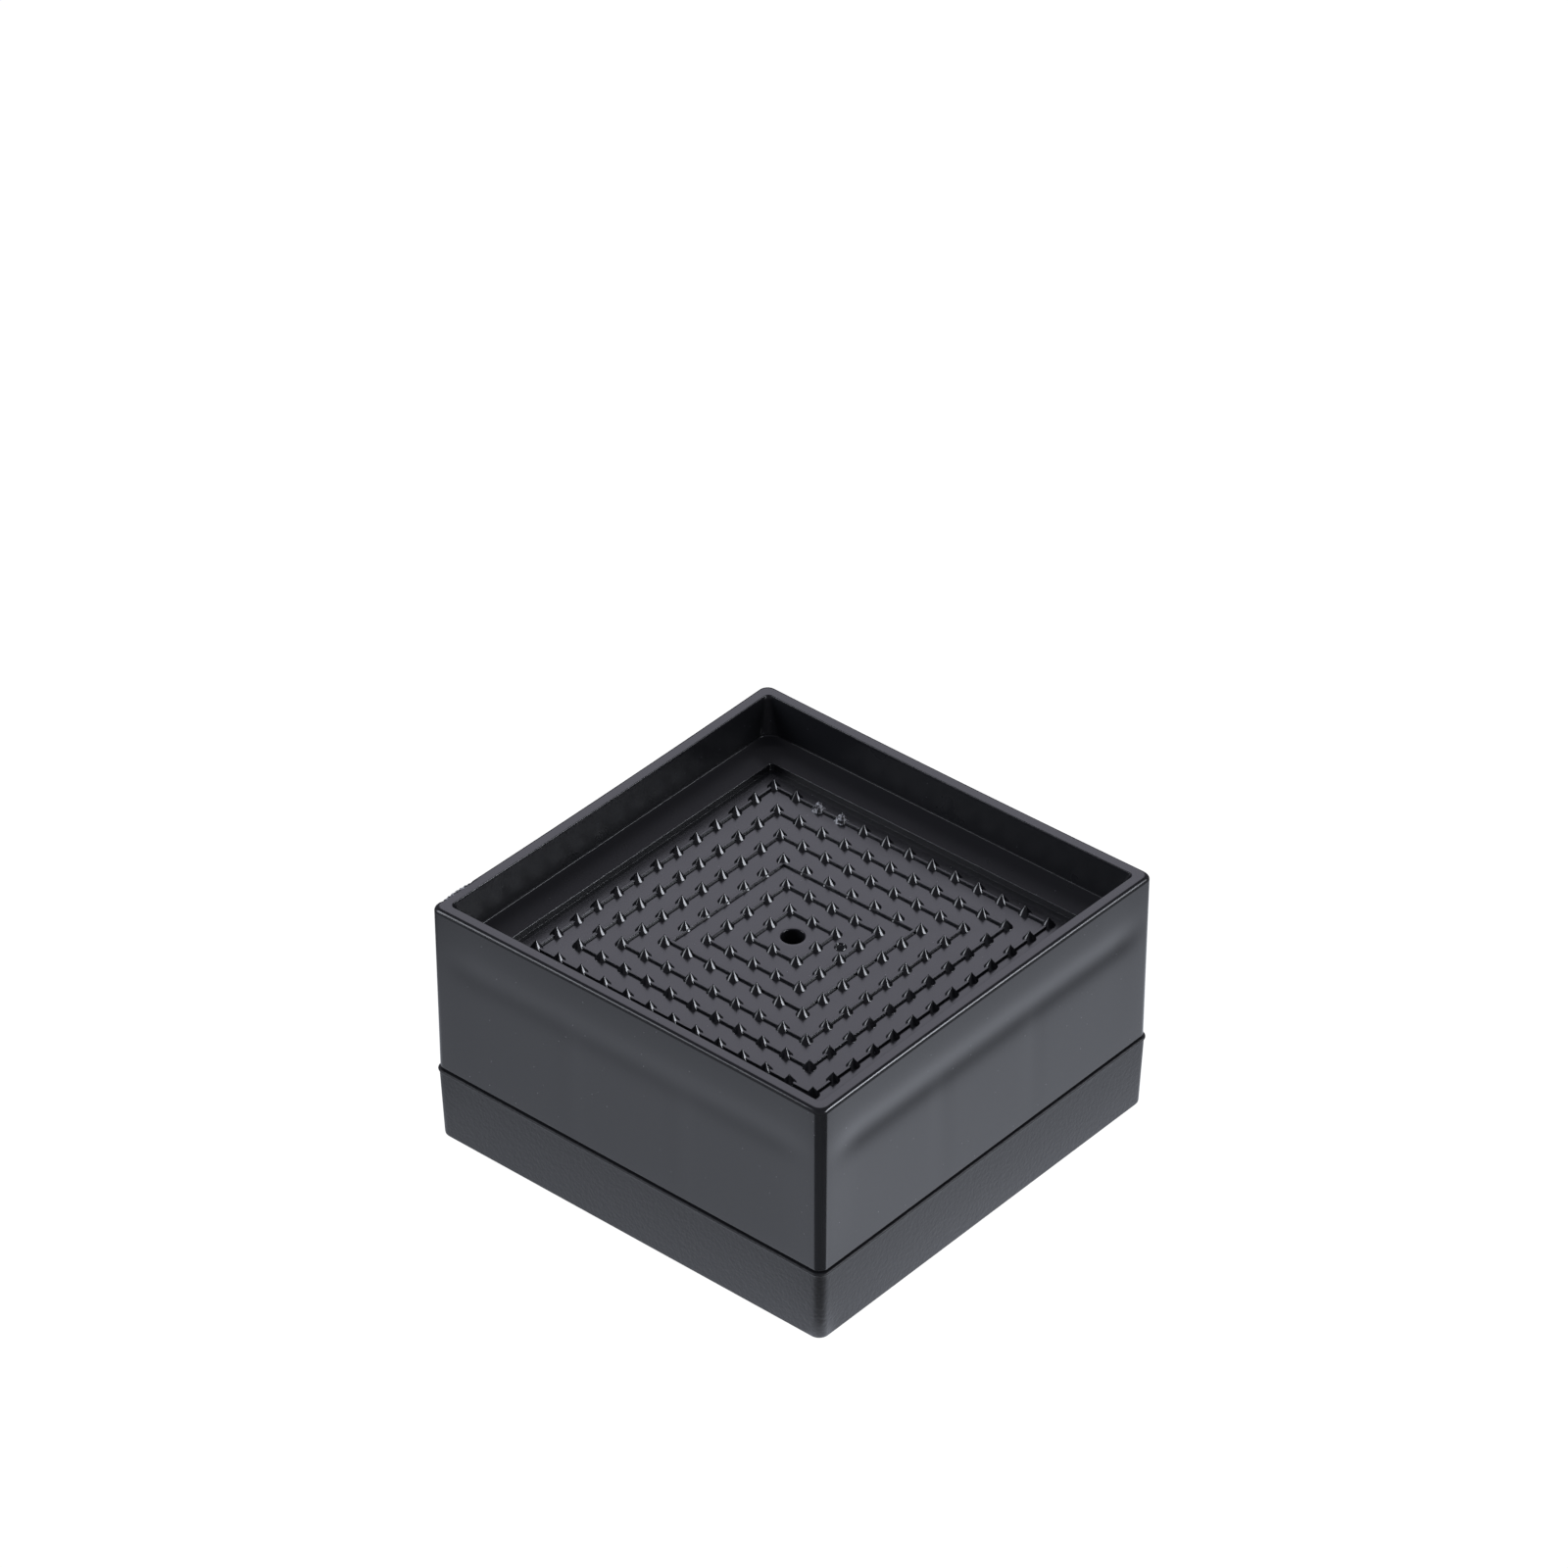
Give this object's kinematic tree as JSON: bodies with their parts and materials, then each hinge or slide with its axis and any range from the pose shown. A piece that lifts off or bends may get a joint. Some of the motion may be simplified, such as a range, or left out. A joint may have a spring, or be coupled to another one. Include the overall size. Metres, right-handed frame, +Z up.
{
  "type": "bed riser",
  "caption": "Square furniture leg riser with a raised rim round a studded, ridged tray and a textured rubber shoe round its foot.",
  "frame": {"origin": "centre of the underside of the base shoe, on the floor", "axes": "+Z up out of the tray, +X and +Y square to the side walls; the pictured front corner is the one between +X and -Y"},
  "size_m": [0.1018, 0.1018, 0.0567],
  "materials": {
    "moulded_body": "satin moulded, fine even grain",
    "shoe_rubber": "fine leather grain"
  },
  "bodies": {
    "root": {"riser_body": "moulded_body", "base_shoe": "shoe_rubber"}
  },
  "joints": []
}
